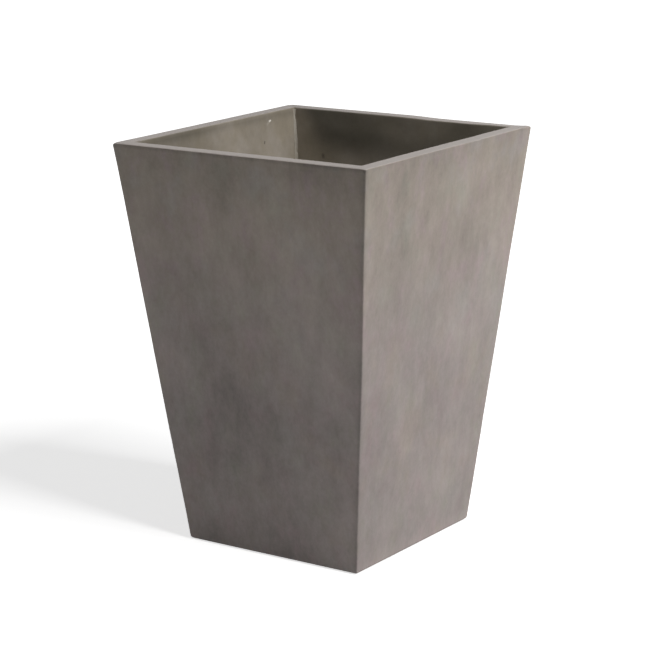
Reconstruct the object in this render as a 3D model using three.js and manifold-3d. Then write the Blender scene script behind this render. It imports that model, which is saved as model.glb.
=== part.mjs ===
// A tall, square, tapered planter in glass-fibre-reinforced resin. Millimetres, +Z up, with
// the origin on the ground under the middle of the planter.
//
// Four leaning wall panels are cast flat, mitred and bonded into a tube that is wider at the
// top. A floor panel with leaning edges is lowered in until it wedges between the walls.
// Beads of resin run up the inside corners and round the floor. A rubber bung closes the drain
// hole and pulls out upwards, and four rubber pads lift the walls so that water can run away.

import * as THREE from "three";
import { mergeVertices } from "three/addons/utils/BufferGeometryUtils.js";
import Module from "manifold-3d";

// Overall form
const HEIGHT = 559; // ground to rim
const TOP_WIDTH = 406; // across the rim, outside
const BASE_WIDTH = 279; // across the walls' lower edge, outside

// Walls
const WALL = 22; // thickness, measured level, which is also the width of the rim
const ARRIS = 2; // radius of the upright outside corners
const RIM_OUTER_ROUND = 1.5;
const RIM_INNER_ROUND = 2;
const BASE_OUTER_ROUND = 4.5;
const BASE_INNER_ROUND = 1;
const BOND = 0.3; // thickness of every bonded joint

// Floor
const FLOOR_RECESS = 12; // how far the floor is set up inside the walls
const FLOOR_THICKNESS = 15;
const FLOOR_BEAD = 8; // how far the floor's resin beads reach along each face of the joint
const CORNER_BEAD = 4; // the same, for the beads up the corners
const BEAD_TOE = 0.6; // thickness of a bead's thin edges
const BEAD_STOP = 2.5; // the corner beads end this far below the rim

// Drain hole and its bung
const DRAIN_RADIUS = 12.5;
const DRAIN_CHAMFER = 1.5;
const BUNG_CLEARANCE = 0.3;
const BUNG_HEAD_RADIUS = 18;
const BUNG_HEAD_THICKNESS = 3;
const BUNG_TIP = 3; // how far the bung shows below the floor
const BUNG_LEAN = 0.8; // how much smaller the stem's radius is at its tip
const BUNG_RIBS = 3;
const BUNG_RIB_DEPTH = 0.7;
const BUNG_GRIP_RADIUS = 4.5;
const BUNG_GRIP_HEIGHT = 7;
const BUNG_BORE_RADIUS = 7.5;
const BUNG_BORE_ROOF = 4; // rubber left above the hollow of the stem
const BUNG_ROUND = 0.8;

// Feet
const FOOT_RADIUS = 6;
const FOOT_HEIGHT = 1;
const FOOT_ROUND = 0.4;

// Smoothness
const ARC_STEPS = 6;
const ROUND_SEGMENTS = 40;
const OVERCUT = 2; // how far a cutting solid runs past what it cuts

// Heights and leans that follow from the sizes above
const WALL_BOTTOM = FOOT_HEIGHT;
const FLOOR_BOTTOM = WALL_BOTTOM + FLOOR_RECESS;
const FLOOR_TOP = FLOOR_BOTTOM + FLOOR_THICKNESS;
const LEAN = (TOP_WIDTH - BASE_WIDTH) / 2 / (HEIGHT - WALL_BOTTOM);

const outerHalf = (z) => BASE_WIDTH / 2 + LEAN * (z - WALL_BOTTOM);
const innerHalf = (z) => outerHalf(z) - WALL;

const wasm = await Module();
wasm.setup();

// A closed geometry as a solid that can be joined and cut.
function solidFrom(geometry) {
  const bare = geometry.clone();
  bare.deleteAttribute("normal");
  bare.deleteAttribute("uv");
  const merged = mergeVertices(bare);
  return new wasm.Manifold(
    new wasm.Mesh({
      numProp: 3,
      vertProperties: new Float32Array(merged.attributes.position.array),
      triVerts: new Uint32Array(merged.index.array),
    }),
  );
}

// A solid as a geometry with flat-shaded faces.
function geometryFrom(solid) {
  const { vertProperties, triVerts, numProp } = solid.getMesh();
  const indexed = new THREE.BufferGeometry();
  indexed.setAttribute("position", new THREE.BufferAttribute(vertProperties, numProp));
  indexed.setIndex(new THREE.BufferAttribute(triVerts, 1));
  const geometry = indexed.toNonIndexed();
  geometry.computeVertexNormals();
  return geometry;
}

// A path of [x, y, radius] corners as points, with each corner rounded to its radius.
function roundedPath(corners) {
  return corners.flatMap(([x, y, radius = 0], i) => {
    const corner = new THREE.Vector2(x, y);
    if (radius === 0) return [corner];
    const back = new THREE.Vector2(...corners[i - 1]).sub(corner).normalize();
    const on = new THREE.Vector2(...corners[i + 1]).sub(corner).normalize();
    const halfAngle = Math.acos(back.dot(on)) / 2;
    const middle = back.clone().add(on).normalize();
    const centre = middle.multiplyScalar(radius / Math.sin(halfAngle)).add(corner);
    const start = back.multiplyScalar(radius / Math.tan(halfAngle)).add(corner).sub(centre);
    const end = on.multiplyScalar(radius / Math.tan(halfAngle)).add(corner).sub(centre);
    const turn = Math.atan2(start.cross(end), start.dot(end));
    const origin = new THREE.Vector2();
    return Array.from({ length: ARC_STEPS + 1 }, (_, step) =>
      start.clone().rotateAround(origin, (turn * step) / ARC_STEPS).add(centre),
    );
  });
}

// The level outline of a square block, its corners rounded, run anticlockwise from above.
function squareOutline(half, corner, z) {
  const outline = [];
  const steps = corner > 0 ? ARC_STEPS : 0;
  for (let quarter = 0; quarter < 4; quarter++) {
    const centre = new THREE.Vector2(half - corner, half - corner);
    centre.rotateAround(new THREE.Vector2(), (quarter * Math.PI) / 2);
    for (let step = 0; step <= steps; step++) {
      const angle = ((quarter + step / Math.max(steps, 1)) * Math.PI) / 2;
      const x = centre.x + corner * Math.cos(angle);
      const y = centre.y + corner * Math.sin(angle);
      outline.push(new THREE.Vector3(x, y, z));
    }
  }
  return outline;
}

// A closed skin stretched over outlines that have equally many points, from the bottom up.
function loft(outlines) {
  const count = outlines[0].length;
  const top = (outlines.length - 1) * count;
  const index = [];
  for (let level = 0; level < outlines.length - 1; level++) {
    for (let side = 0; side < count; side++) {
      const here = level * count + side;
      const next = level * count + ((side + 1) % count);
      index.push(here, next, next + count, here, next + count, here + count);
    }
  }
  for (let side = 1; side < count - 1; side++) {
    index.push(0, side + 1, side, top, top + side, top + side + 1);
  }
  const geometry = new THREE.BufferGeometry();
  geometry.setFromPoints(outlines.flat());
  geometry.setIndex(index);
  return geometry;
}

// A solid that is turned round the Z axis from [radius, z] points.
function turned(points) {
  const geometry = new THREE.LatheGeometry(points, ROUND_SEGMENTS);
  geometry.rotateX(Math.PI / 2);
  return geometry;
}

// The front quarter of a square ring, cut at the mitres so that half a bond is left each side.
function frontQuarter(ring) {
  const reach = Math.max(TOP_WIDTH, BASE_WIDTH);
  const apex = -BOND / Math.SQRT2;
  const wedge = new THREE.Shape([
    new THREE.Vector2(0, apex),
    new THREE.Vector2(-reach, apex - reach),
    new THREE.Vector2(reach, apex - reach),
  ]);
  const prism = new THREE.ExtrudeGeometry(wedge, {
    depth: HEIGHT + 2 * OVERCUT,
    bevelEnabled: false,
  });
  prism.translate(0, 0, -OVERCUT);
  return ring.intersect(solidFrom(prism));
}

// The outside of the planter as one block, with the same small radius up all four corners.
function outerBlock() {
  const profile = roundedPath([
    [0, WALL_BOTTOM],
    [outerHalf(WALL_BOTTOM), WALL_BOTTOM, BASE_OUTER_ROUND],
    [outerHalf(HEIGHT), HEIGHT, RIM_OUTER_ROUND],
    [0, HEIGHT],
  ]).slice(1, -1);
  return loft(profile.map(({ x: half, y: z }) => squareOutline(half, ARRIS, z)));
}

// The hollow of the planter as one block, sharp in its corners, run past both ends.
function innerBlock() {
  const profile = roundedPath([
    [outerHalf(WALL_BOTTOM), WALL_BOTTOM],
    [innerHalf(WALL_BOTTOM), WALL_BOTTOM, BASE_INNER_ROUND],
    [innerHalf(HEIGHT), HEIGHT, RIM_INNER_ROUND],
    [outerHalf(HEIGHT), HEIGHT],
  ]).slice(1, -1);
  const outlines = profile.map(({ x: half, y: z }) => squareOutline(half, 0, z));
  const below = squareOutline(profile.at(0).x, 0, WALL_BOTTOM - OVERCUT);
  const above = squareOutline(profile.at(-1).x, 0, HEIGHT + OVERCUT);
  return loft([below, ...outlines, above]);
}

// One wall panel: a slab with mitred sides that leans out over its foot.
function wallPanel() {
  const tube = solidFrom(outerBlock()).subtract(solidFrom(innerBlock()));
  return geometryFrom(frontQuarter(tube));
}

// The floor panel, whose edges lean with the walls, with a chamfered drain hole.
function floorPanel() {
  const slab = loft(
    [FLOOR_BOTTOM, FLOOR_TOP].map((z) => squareOutline(innerHalf(z) - BOND, 0, z)),
  );
  const drain = turned([
    new THREE.Vector2(0, FLOOR_BOTTOM - OVERCUT),
    new THREE.Vector2(DRAIN_RADIUS, FLOOR_BOTTOM - OVERCUT),
    new THREE.Vector2(DRAIN_RADIUS, FLOOR_TOP - DRAIN_CHAMFER),
    new THREE.Vector2(DRAIN_RADIUS + DRAIN_CHAMFER + OVERCUT, FLOOR_TOP + OVERCUT),
    new THREE.Vector2(0, FLOOR_TOP + OVERCUT),
  ]);
  return geometryFrom(solidFrom(slab).subtract(solidFrom(drain)));
}

// The hollowed face of a bead, from its toe on one face of the joint to its toe on the other.
// Both faces of the joint lie on the axes, and the bead fills the corner between them.
function coveFace(reach) {
  const curve = new THREE.Path();
  curve.absarc(reach, reach, reach - BEAD_TOE, -Math.PI / 2, -Math.PI, true);
  return curve.getPoints(ARC_STEPS);
}

// A bead along the front of the floor: the front quarter of a ring with a hollowed inner face.
function floorBead() {
  const crest = FLOOR_TOP + FLOOR_BEAD;
  const backHalf = (z) => innerHalf(z) - BOND;
  const back = loft([FLOOR_TOP, crest].map((z) => squareOutline(backHalf(z), 0, z)));
  const face = coveFace(FLOOR_BEAD).map((point) => {
    const z = FLOOR_TOP + point.y;
    return squareOutline(backHalf(z) - point.x, 0, z);
  });
  const below = squareOutline(backHalf(FLOOR_TOP) - FLOOR_BEAD, 0, FLOOR_TOP - OVERCUT);
  const above = squareOutline(backHalf(crest) - BEAD_TOE, 0, crest + OVERCUT);
  const hollow = loft([below, ...face, above]);
  return geometryFrom(frontQuarter(solidFrom(back).subtract(solidFrom(hollow))));
}

// A bead up the front right inside corner, sheared so that it follows both leaning walls.
function cornerBead() {
  const bottom = FLOOR_TOP + FLOOR_BEAD + BOND;
  const section = new THREE.Shape([
    new THREE.Vector2(0, 0),
    new THREE.Vector2(CORNER_BEAD, 0),
    ...coveFace(CORNER_BEAD),
    new THREE.Vector2(0, CORNER_BEAD),
  ]);
  const bead = new THREE.ExtrudeGeometry(section, {
    depth: HEIGHT - BEAD_STOP - bottom,
    bevelEnabled: false,
  });
  bead.rotateZ(Math.PI / 2);
  bead.translate(innerHalf(0) - BOND, BOND - innerHalf(0), bottom);
  const followWalls = new THREE.Matrix4().makeShear(0, 0, 0, 0, LEAN, -LEAN);
  return bead.applyMatrix4(followWalls);
}

// The bung: a head with a grip, a ribbed stem that tapers to its tip, and a hollow from below.
function bung() {
  const tipZ = FLOOR_BOTTOM - BUNG_TIP;
  const headZ = FLOOR_TOP + BUNG_HEAD_THICKNESS;
  const stemLength = FLOOR_TOP - tipZ;
  const neck = DRAIN_RADIUS - BUNG_CLEARANCE;
  const stemRadius = (z) => neck - (BUNG_LEAN * (FLOOR_TOP - z)) / stemLength;
  const ribs = [];
  const ribPitch = stemLength / (2 * BUNG_RIBS + 1);
  for (let rib = 0; rib < BUNG_RIBS; rib++) {
    const foot = tipZ + ribPitch * (2 * rib + 1);
    ribs.push([stemRadius(foot) - BUNG_RIB_DEPTH, foot]);
    ribs.push([stemRadius(foot + ribPitch / 2), foot + ribPitch / 2]);
    ribs.push([stemRadius(foot + ribPitch) - BUNG_RIB_DEPTH, foot + ribPitch]);
  }
  return turned(
    roundedPath([
      [0, headZ - BUNG_BORE_ROOF],
      [BUNG_BORE_RADIUS, headZ - BUNG_BORE_ROOF, BUNG_ROUND],
      [BUNG_BORE_RADIUS, tipZ],
      [stemRadius(tipZ) - BUNG_RIB_DEPTH, tipZ, BUNG_ROUND],
      ...ribs,
      [neck - BUNG_RIB_DEPTH, FLOOR_TOP],
      [BUNG_HEAD_RADIUS, FLOOR_TOP],
      [BUNG_HEAD_RADIUS, headZ, BUNG_ROUND],
      [BUNG_GRIP_RADIUS, headZ, BUNG_ROUND],
      [BUNG_GRIP_RADIUS, headZ + BUNG_GRIP_HEIGHT, BUNG_ROUND],
      [0, headZ + BUNG_GRIP_HEIGHT],
    ]),
  );
}

// A pad under the front right corner, in the middle of the walls' flat lower edge.
function footPad() {
  const inner = innerHalf(WALL_BOTTOM) + BASE_INNER_ROUND;
  const outer = outerHalf(WALL_BOTTOM) - BASE_OUTER_ROUND;
  const centre = (inner + outer) / 2;
  const pad = turned(
    roundedPath([
      [0, 0],
      [FOOT_RADIUS, 0, FOOT_ROUND],
      [FOOT_RADIUS, FOOT_HEIGHT],
      [0, FOOT_HEIGHT],
    ]),
  );
  return pad.translate(centre, -centre, 0);
}

const stoneCoat = new THREE.MeshStandardMaterial({ color: 0x978e89, roughness: 0.75, metalness: 0 });
const laminate = new THREE.MeshStandardMaterial({ color: 0x857d71, roughness: 0.85, metalness: 0 });
const resin = new THREE.MeshStandardMaterial({ color: 0xa29d93, roughness: 0.6, metalness: 0 });
const rubber = new THREE.MeshStandardMaterial({ color: 0x1d1d1e, roughness: 0.85, metalness: 0 });

function namedMesh(name, geometry, material) {
  const mesh = new THREE.Mesh(geometry, material);
  mesh.name = name;
  return mesh;
}

const planter = new THREE.Group();

const wallGeometry = wallPanel();
const floorBeadGeometry = floorBead();
["front", "right", "back", "left"].forEach((side, turn) => {
  const wall = new THREE.Group();
  wall.rotation.z = (turn * Math.PI) / 2;
  wall.add(namedMesh(`wall_panel_${side}`, wallGeometry, stoneCoat));
  wall.add(namedMesh(`floor_bead_${side}`, floorBeadGeometry, resin));
  planter.add(wall);
});

const cornerBeadGeometry = cornerBead();
const footGeometry = footPad();
["front_right", "back_right", "back_left", "front_left"].forEach((corner, turn) => {
  const post = new THREE.Group();
  post.rotation.z = (turn * Math.PI) / 2;
  post.add(namedMesh(`corner_bead_${corner}`, cornerBeadGeometry, resin));
  post.add(namedMesh(`foot_pad_${corner}`, footGeometry, rubber));
  planter.add(post);
});

planter.add(namedMesh("floor_panel", floorPanel(), laminate));
planter.add(namedMesh("drain_bung", bung(), rubber));

export default planter;
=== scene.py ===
# %% [markdown]
# # A tall fibreglass planter
#
# The planter is a square tube of four thick leaning panels with a floor let in between them.
# Its outside is one seamless coat of stone-grey paint, and its inside is bare laminate with
# beads of resin in the joints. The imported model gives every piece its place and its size. This
# script makes the surfaces that a hand would feel: eased edges, faces that aren't quite flat,
# ragged resin, and a coat with clouds and streaks in it.

import math

import bpy
import numpy as np
from mathutils import Matrix, Vector


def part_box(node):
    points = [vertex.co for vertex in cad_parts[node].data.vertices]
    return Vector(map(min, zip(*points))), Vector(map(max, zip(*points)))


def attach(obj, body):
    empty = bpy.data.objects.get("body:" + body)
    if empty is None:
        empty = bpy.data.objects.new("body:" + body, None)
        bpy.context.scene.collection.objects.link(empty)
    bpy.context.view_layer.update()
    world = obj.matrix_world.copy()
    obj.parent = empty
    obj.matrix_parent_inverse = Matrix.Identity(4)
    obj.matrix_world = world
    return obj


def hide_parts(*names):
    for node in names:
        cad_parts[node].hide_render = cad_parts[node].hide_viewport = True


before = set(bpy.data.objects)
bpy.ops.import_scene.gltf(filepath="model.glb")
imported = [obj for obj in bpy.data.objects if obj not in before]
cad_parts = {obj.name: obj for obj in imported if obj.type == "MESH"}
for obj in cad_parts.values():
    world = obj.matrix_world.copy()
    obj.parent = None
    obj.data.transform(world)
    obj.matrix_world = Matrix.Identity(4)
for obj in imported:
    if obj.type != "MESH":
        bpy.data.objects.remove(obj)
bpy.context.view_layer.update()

# %% [markdown]
# ## Sizes
#
# Everything is in metres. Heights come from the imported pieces. The widths, the wall and the
# radii are the planter's driving sizes, written once here and used by every piece.

# %% Heights from the frame, and the driving sizes
WALL_LOW, WALL_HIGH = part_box("wall_panel_front")
FLOOR_LOW, FLOOR_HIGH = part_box("floor_panel")
BEAD_LOW, BEAD_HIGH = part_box("corner_bead_back_left")
BUNG_LOW, BUNG_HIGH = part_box("drain_bung")
PAD_LOW, PAD_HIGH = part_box("foot_pad_front_right")

RIM_Z = WALL_HIGH.z
FOOT_Z = WALL_LOW.z
TOP_WIDTH = 0.406
BASE_WIDTH = 0.279
WALL = 0.022
LEAN = (TOP_WIDTH - BASE_WIDTH) / 2 / (RIM_Z - FOOT_Z)
# The radii of the upright edges, outside and inside.
ARRIS = 0.002
INSIDE_CORNER = 0.001
print(f"the walls lean out by {math.degrees(math.atan(LEAN)):.2f} degrees")


def outer_half(z):
    """Half of the outside width at height z: half of the base width, plus the lean times the rise."""
    return BASE_WIDTH / 2 + LEAN * (z - FOOT_Z)


def inner_half(z):
    """Half of the inside width at height z: the outside less the wall."""
    return outer_half(z) - WALL


# %% [markdown]
# ## Skins
#
# Every piece of the planter is a section carried along a path, so one helper can skin them all.
# It takes a grid of points. The second direction of the grid is the section, which always closes
# on itself. The first direction runs from one end of the piece to the other, and each end gets a
# flat cap, or it closes on itself too, as on the floor with its hole. The edges round a cap are
# marked sharp, so that the cap doesn't bend the shading of the faces that it ends.

# %% Which way faces point, and the edges round a cap
def outward(loops):
    """The sum over faces of middle . normal, which is above 0 when a closed skin's faces point out.

    A face's normal here is the sum of each of its corners crossed with the next one round it.
    """
    normals = np.cross(loops, np.roll(loops, -1, axis=1)).sum(axis=1)
    return (loops.mean(axis=1) * normals).sum()


def sharpen_caps(mesh, stations, around):
    """Marks as sharp each edge whose ends both lie on the first station, or both on the last."""
    ends = np.empty(len(mesh.edges) * 2, np.int32)
    mesh.edges.foreach_get("vertices", ends)
    station = ends.reshape(-1, 2) // around
    on_cap = (station[:, 0] == station[:, 1]) & np.isin(station[:, 0], (0, stations - 1))
    sharp = mesh.attributes.new("sharp_edge", "BOOLEAN", "EDGE")
    sharp.data.foreach_set("value", on_cap)


raised_square = np.array([[[0, 0, 1], [1, 0, 1], [1, 1, 1], [0, 1, 1]]])
print("a unit square that faces away from the origin gives", outward(raised_square))


# %% A closed skin over a grid of points
def skin(name, grid, ring=False):
    """Quads (i, j), (i+1, j), (i+1, j+1), (i, j+1) over the grid, and a polygon over each end."""
    stations, around = grid.shape[:2]
    points = grid.reshape(-1, 3)
    here = np.arange(stations * around).reshape(stations, around)
    there = np.roll(here, -1, axis=0)
    caps = np.stack([here[0], here[-1][::-1]])
    if ring:
        caps = caps[:0]
    else:
        here, there = here[:-1], there[:-1]
    quads = np.stack([here, there, np.roll(there, -1, axis=1), np.roll(here, -1, axis=1)], axis=-1)
    quads = quads.reshape(-1, 4)
    if outward(points[quads]) + outward(points[caps]) < 0:
        quads, caps = quads[:, ::-1], caps[:, ::-1]
    mesh = bpy.data.meshes.new(name)
    mesh.from_pydata(points.tolist(), [], quads.tolist() + caps.tolist())
    mesh.polygons.foreach_set("use_smooth", np.arange(len(mesh.polygons)) < len(quads))
    if not ring:
        sharpen_caps(mesh, stations, around)
    mesh.update()
    piece = bpy.data.objects.new(name, mesh)
    bpy.context.scene.collection.objects.link(piece)
    print(f"{name}: {len(mesh.vertices)} points, {len(mesh.polygons)} faces")
    return piece


def note(piece, name, values):
    """Keeps one number for each point of the mesh, which the piece's material can read."""
    attribute = piece.data.attributes.new(name, "FLOAT", "POINT")
    attribute.data.foreach_set("value", np.ascontiguousarray(values, np.float32).ravel())


# %% [markdown]
# ## Uneven surfaces
#
# Nothing that is laid up and rubbed down by hand is flat. A hand-made surface wanders by a few
# tenths of a millimetre, over lengths from a thumb's width to a hand's width. A random texture
# could push the points about, but a sum of plane waves has no grid of its own, can be evaluated
# anywhere in space, and gives two walls the same value where they meet, so their edges agree.

# %% Waves in space
# The shortest and the longest wave, as shares of the length asked for.
SHORTEST, LONGEST = 0.7, 1.5


def waves(points, length, seed, count=28):
    """The sum of cosines of (k . p + phase) over random directions k, scaled to a spread near 1."""
    random = np.random.default_rng(seed)
    directions = random.normal(size=(count, 3))
    directions /= np.linalg.norm(directions, axis=1, keepdims=True)
    numbers = 2 * np.pi / (length * random.uniform(SHORTEST, LONGEST, count))
    phases = random.uniform(0, 2 * np.pi, count)
    angles = points @ (directions * numbers[:, None]).T + phases
    return np.cos(angles).sum(axis=-1) * math.sqrt(2 / count)


def layered(points, layers):
    """The sum, over layers of (length, height, seed), of each height times its waves."""
    return sum(height * waves(points, length, seed) for length, height, seed in layers)


def between(low, high, value):
    """0 below low, 1 above high, and the smooth step 3t^2 - 2t^3 between them."""
    t = np.clip((value - low) / (high - low), 0, 1)
    return t * t * (3 - 2 * t)


block = np.indices((12, 12, 12)).reshape(3, -1).T * 0.03
print(f"over a block of space, the waves spread by {waves(block, 0.1, seed=1).std():.2f}")

# %% [markdown]
# ## The wall panels
#
# On the real planter each wall is a slab about 22 mm thick, mitred at both sides. A box with
# bevelled edges would do for the form, but its corners wouldn't meet its neighbour's corners
# once the faces wander. So the wall is one closed profile, up the outside, over the rim, down
# the inside and back under the foot, carried from the mitre at one corner to the mitre at the
# next. At each corner the path follows half of the rounded arris, and the next wall takes over.

# %% Straight stretches and arcs
SUPPORT = 0.0006


def stretch(start, end, step):
    """Points about one step apart, with one more close to each end to hold the shading flat."""
    start, end = np.asarray(start, float), np.asarray(end, float)
    length = np.linalg.norm(end - start)
    count = max(int(round(length / step)), 1)
    share = np.linspace(SUPPORT / length, 1 - SUPPORT / length, count + 1)
    share = np.concatenate([[0], share, [1]])
    return start + share[:, None] * (end - start)


def rounded(before, corner, after, radius, steps=7):
    """The arc of that radius that touches both lines through the corner, from the first line on."""
    corner = np.asarray(corner, float)
    back = (before - corner) / np.linalg.norm(before - corner)
    on = (after - corner) / np.linalg.norm(after - corner)
    half_angle = math.acos(back @ on) / 2
    middle = (back + on) / np.linalg.norm(back + on)
    centre = corner + middle * radius / math.sin(half_angle)
    first = corner + back * radius / math.tan(half_angle) - centre
    last = corner + on * radius / math.tan(half_angle) - centre
    turn = math.atan2(first[0] * last[1] - first[1] * last[0], first @ last)
    angles = np.linspace(0, turn, steps + 1)
    across = np.array([-first[1], first[0]])
    return centre + np.cos(angles)[:, None] * first + np.sin(angles)[:, None] * across


ten_mm = stretch([0.0], [0.01], 0.004)[:, 0] * 1000
print("10 mm in steps of about 4 mm has points at", ten_mm.round(1))


# %% The profile of a wall
RIM_OUTER_ROUND = 0.0015
RIM_INNER_ROUND = 0.002
BASE_OUTER_ROUND = 0.0045
BASE_INNER_ROUND = 0.001
FACE_STEP = 0.004


def wall_profile():
    """The slab's four corners as (half width, height), each rounded, and stretches between them."""
    corners = np.array(
        [
            [outer_half(FOOT_Z), FOOT_Z],
            [outer_half(RIM_Z), RIM_Z],
            [inner_half(RIM_Z), RIM_Z],
            [inner_half(FOOT_Z), FOOT_Z],
        ]
    )
    radii = [BASE_OUTER_ROUND, RIM_OUTER_ROUND, RIM_INNER_ROUND, BASE_INNER_ROUND]
    arcs = [
        rounded(corners[i - 1], corners[i], corners[(i + 1) % 4], radii[i]) for i in range(4)
    ]
    runs = []
    for i in range(4):
        following = arcs[(i + 1) % 4]
        runs += [arcs[i], stretch(arcs[i][-1], following[0], FACE_STEP)[1:-1]]
    return np.vstack(runs)


profile = wall_profile()
print(f"the wall's profile has {len(profile)} points")

# %% [markdown]
# The material needs to know where on the wall it is: outside, on the rim, or inside. That is
# measured along the surface from the rim's outer edge, and noted on the points.

# %% Distances along the profile
# The rim starts where its outer round comes within this share of its radius of the top.
EDGE_SHARE = 0.3

half_of, height_of = profile[:, 0], profile[:, 1]
steps_along = np.linalg.norm(np.diff(profile, axis=0), axis=1)
run_along = np.concatenate([[0], np.cumsum(steps_along)])
rim_start = run_along[np.argmax(height_of > RIM_Z - RIM_OUTER_ROUND * EDGE_SHARE)]
past_rim_edge = run_along - rim_start
# 0 on the outside, 1 on the inside, and in between across the rim and the foot.
share_inside = np.clip((outer_half(height_of) - half_of) / WALL, 0, 1)
# The corner's radius eases across the rim and the foot from the outside one to the inside one.
radius_of = ARRIS + (INSIDE_CORNER - ARRIS) * share_inside
print(f"the rim starts {rim_start * 1000:.0f} mm up the outside of the profile")

# %% [markdown]
# The faces wander by a few tenths of a millimetre. The outside was rubbed down before it was
# painted, so it is the truer face. The inside is as the roller left it. Both lie within the true
# wall. The rim was ground level by hand: one stretch of it, on the back wall towards the
# right-hand corner, was ground too low, and its four corners are worn. The arris nearest the
# eye isn't quite straight either, and bulges a little to the right at half of its height.

# %% How far each point is from true
OUTSIDE_MEAN, OUTSIDE_WAVES = 0.00015, [(0.16, 0.000075, 3), (0.045, 0.000036, 4)]
INSIDE_MEAN, INSIDE_WAVES = 0.00025, [(0.16, 0.00015, 3), (0.045, 0.00025, 4)]
ARRIS_BOW = 0.0012
BOW_HEIGHT, BOW_RISE, BOW_REACH = 0.29, 0.11, 0.06


def wander(points, inside):
    """How far the half width shrinks: long and short waves round a mean, into the wall on both faces."""
    outside = OUTSIDE_MEAN + layered(points, OUTSIDE_WAVES)
    rough = INSIDE_MEAN + layered(points, INSIDE_WAVES)
    return np.clip(outside, 0, None) * (1 - inside) - rough * inside


def arris_bow(points):
    """How far the front right arris bulges towards +x: a bell curve in height and in distance."""
    x, y, z = np.moveaxis(points, -1, 0)
    away = (outer_half(z) - x) ** 2 + (outer_half(z) + y) ** 2
    return ARRIS_BOW * np.exp(-(((z - BOW_HEIGHT) / BOW_RISE) ** 2) - away / BOW_REACH**2)


near_arris = np.array([outer_half(BOW_HEIGHT), -outer_half(BOW_HEIGHT), BOW_HEIGHT])
print(f"{BOW_HEIGHT} m up, the near arris bulges by {arris_bow(near_arris) * 1000:.1f} mm")


# %% How low the rim lies
RIM_MEAN, RIM_WAVES = 0.00012, [(0.11, 0.00006, 9)]
# The drop fades out between these two heights below the rim.
DROP_ENDS, DROP_STARTS = 0.05, 0.004
BACK_WALL_Y = (0.17, 0.18)
LOW_STRETCH_DEPTH = 0.0013
LOW_STRETCH_STARTS, LOW_STRETCH_ENDS = (0.005, 0.065), (0.18, 0.203)
LESS_AT_INNER_EDGE, LESS_FROM_X = 0.6, (0.11, 0.15)
WORN_CORNER = {
    "front_left": 0.0016,
    "front_right": 0.0006,
    "back_right": 0.0014,
    "back_left": 0.0008,
}
WORN_CORNER_REACH = 0.004


def rim_drop(points, inside):
    """How far the rim lies below true: gentle waves, a low stretch on the back wall, worn corners."""
    x, y, z = np.moveaxis(points, -1, 0)
    near_rim = between(RIM_Z - DROP_ENDS, RIM_Z - DROP_STARTS, z)
    gentle = RIM_MEAN + layered(points * (1, 1, 0), RIM_WAVES)
    low = between(*LOW_STRETCH_STARTS, x) * (1 - between(*LOW_STRETCH_ENDS, x))
    low = low * (1 - LESS_AT_INNER_EDGE * inside * between(*LESS_FROM_X, x))
    drop = np.clip(gentle, 0, None) + LOW_STRETCH_DEPTH * between(*BACK_WALL_Y, y) * low
    for corner, depth in WORN_CORNER.items():
        away_x = outer_half(z) - x * (1 if "right" in corner else -1)
        away_y = outer_half(z) - y * (1 if "back" in corner else -1)
        drop = drop + depth * np.exp(-(away_x**2 + away_y**2) / WORN_CORNER_REACH**2)
    return near_rim * drop


low_left, low_right = rim_drop(np.array([[-0.1, 0.2, RIM_Z], [0.1, 0.2, RIM_Z]]), inside=0) * 1000
print(f"the back rim lies {low_left:.1f} mm low on the left and {low_right:.1f} mm on the right")


# %% The path from mitre to mitre
ARC_STEPS = 8


def across_wall(half, radius):
    """Half of the left arris's arc, the straight face, and half of the right arris's, from above."""
    angles = np.linspace(math.pi / 4, math.pi / 2, ARC_STEPS + 1)
    flat = (half - radius)[:, None]
    arc_x = -flat - radius[:, None] * np.cos(angles)
    arc_y = -flat - radius[:, None] * np.sin(angles)
    share = stretch([-TOP_WIDTH / 2], [TOP_WIDTH / 2], FACE_STEP)[1:-1, 0] / (TOP_WIDTH / 2)
    face_x = flat * share
    face_y = np.broadcast_to(-half[:, None], face_x.shape)
    x = np.hstack([arc_x, face_x, -arc_x[:, ::-1]])
    y = np.hstack([arc_y, face_y, arc_y[:, ::-1]])
    return x, y


def turned(points, quarters):
    """The points after that many quarter turns about the upright axis, anticlockwise from above."""
    x, y, z = np.moveaxis(points, -1, 0)
    for _ in range(quarters):
        x, y = -y, x
    return np.stack([x, y, z], axis=-1)


def wall_points(quarters):
    """The wall with its half widths and heights changed, and the true wall that it departs from."""
    x, y = across_wall(half_of, radius_of)
    z = np.broadcast_to(height_of[:, None], x.shape)
    inside = share_inside[:, None]
    true = turned(np.stack([x, y, z], axis=-1), quarters)
    shrink = wander(true, inside)
    x = x * (1 - shrink / half_of[:, None])
    y = y + shrink
    z = z - rim_drop(true, inside)
    points = turned(np.stack([x, y, z], axis=-1), quarters)
    points[..., 0] += arris_bow(true) * (1 - inside)
    return points, true


for quarters in range(4):
    points, true = wall_points(quarters)
    print(f"wall {quarters} lies up to {np.abs(points - true).max() * 1000:.1f} mm from true")

# %% [markdown]
# The coat's large clouds, and what the light can't explain near its edges, belong to places on
# the planter. Near the edges the tones are partly the coat's own and partly painted light and
# shade: darker under the rim and at one end of each wall, paler towards the other end, darker low
# down as painted shade, paler at the right wall's foot as painted light from the floor, and
# sloping from end to end of each wall as painted light. The rim's tone, partly painted light too,
# changes from one end of each wall to the other. All this is worked out for each point and noted
# on the mesh, because a material can't know how far a point is from the next corner. Places on a
# wall are given across it, from its middle to the right as seen from outside, and up from the
# ground.

# %% The tones of the coat, with light and shade painted on it
SIDES = ["front", "right", "back", "left"]
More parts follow.
